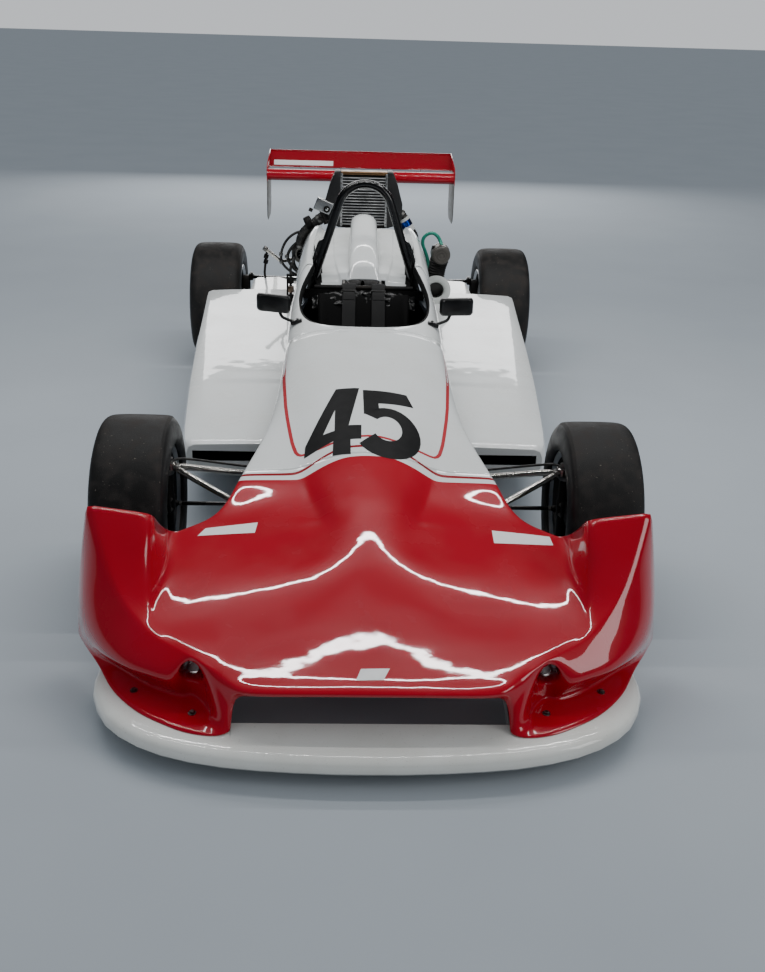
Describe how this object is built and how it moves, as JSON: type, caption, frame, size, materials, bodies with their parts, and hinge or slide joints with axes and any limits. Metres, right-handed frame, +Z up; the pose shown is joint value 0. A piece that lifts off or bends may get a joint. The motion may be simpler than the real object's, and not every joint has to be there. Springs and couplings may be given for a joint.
{
  "type": "open wheel racing car",
  "caption": "Open wheel single seat racing car with a full width nose, sidepods, roll hoop, rear wing, turning wheels and rack steering.",
  "frame": {"origin": "on the floor under the middle of the car's overall length and width", "axes": "+Z up, -Y is the car's front, +X is the car's left"},
  "size_m": [1.6812, 4.34, 1.0433],
  "materials": {
    "red_paint": "gloss",
    "white_paint": "gloss",
    "dark_composite": "satin",
    "black_steel": "satin",
    "plated_steel": "polished",
    "bare_steel": "satin",
    "webbing": "woven",
    "cast_alloy": "cast",
    "sheet_alloy": "polished",
    "black_plastic": "gloss",
    "tyre_rubber": "slick",
    "dark_alloy": "satin"
  },
  "bodies": {
    "chassis": {"nose": "red_paint", "splitter": "white_paint", "tub": "dark_composite", "scuttle": "white_paint", "cockpit_surround": "white_paint", "engine_cover": "white_paint", "undertray": "dark_composite", "roll_hoop": "black_steel", "rack_housing": "bare_steel", "dash": "dark_composite", "seat": "dark_composite", "belts": "webbing", "engine": "cast_alloy", "gearbox": "cast_alloy", "spring_beam": "black_steel", "intercooler": "cast_alloy", "rear_wing": "red_paint", "endplates": "sheet_alloy", "wing_pylon": "black_steel", "turbocharger": "cast_alloy", "boost_pipe_left": "dark_composite", "boost_pipe_right": "dark_composite", "air_intake": "dark_composite", "rain_light": "black_plastic", "sidepod_left": "white_paint", "sidepod_right": "white_paint", "front_arms_left": "plated_steel", "front_arms_right": "plated_steel", "rear_upright_left": "cast_alloy", "rear_upright_right": "cast_alloy", "rear_arms_left": "black_steel", "rear_arms_right": "black_steel", "spring_leg_left": "bare_steel", "spring_leg_right": "bare_steel", "mirror_left": "black_plastic", "mirror_right": "black_plastic"},
    "steer_left": {"front_knuckle_left": "cast_alloy"},
    "wheel_front_left": {"front_tyre_left": "tyre_rubber", "front_rim_left": "dark_alloy"},
    "wheel_rear_left": {"rear_tyre_left": "tyre_rubber", "rear_rim_left": "dark_alloy", "rear_shaft_left": "black_steel"},
    "steer_right": {"front_knuckle_right": "cast_alloy"},
    "wheel_front_right": {"front_tyre_right": "tyre_rubber", "front_rim_right": "dark_alloy"},
    "wheel_rear_right": {"rear_tyre_right": "tyre_rubber", "rear_rim_right": "dark_alloy", "rear_shaft_right": "black_steel"},
    "steering": {"steering_wheel": "black_plastic"},
    "steering_rack": {"rack": "bare_steel"}
  },
  "joints": [
    {"name": "steer_left", "type": "hinge", "parent": "chassis", "child": "steer_left", "pos_m": [0.615, -1.125, 0.27], "axis": [0, 0, 1], "range_deg": [-20, 20]},
    {"name": "front_wheel_left", "type": "hinge", "parent": "steer_left", "child": "wheel_front_left", "pos_m": [0.7025, -1.125, 0.27], "axis": [1, 0, 0], "continuous": true},
    {"name": "rear_wheel_left", "type": "hinge", "parent": "chassis", "child": "wheel_rear_left", "pos_m": [0.715, 1.375, 0.2875], "axis": [1, 0, 0], "continuous": true},
    {"name": "steer_right", "type": "hinge", "parent": "chassis", "child": "steer_right", "pos_m": [-0.615, -1.125, 0.27], "axis": [0, 0, 1], "range_deg": [-20, 20]},
    {"name": "front_wheel_right", "type": "hinge", "parent": "steer_right", "child": "wheel_front_right", "pos_m": [-0.7025, -1.125, 0.27], "axis": [1, 0, 0], "continuous": true},
    {"name": "rear_wheel_right", "type": "hinge", "parent": "chassis", "child": "wheel_rear_right", "pos_m": [-0.715, 1.375, 0.2875], "axis": [1, 0, 0], "continuous": true},
    {"name": "steering_column", "type": "hinge", "parent": "chassis", "child": "steering", "pos_m": [0, -0.19, 0.445], "axis": [0, 0.9659, 0.2588], "range_deg": [-200, 200]},
    {"name": "rack_slide", "type": "slide", "parent": "chassis", "child": "steering_rack", "axis": [1, 0, 0], "range_m": [-0.035, 0.035]}
  ],
  "couplings": [
    {"joint": "steer_right", "follows": "steer_left", "ratio": 1},
    {"joint": "steering_column", "follows": "steer_left", "ratio": 10},
    {"joint": "rack_slide", "follows": "steer_left", "m_per_rad": -0.1}
  ]
}
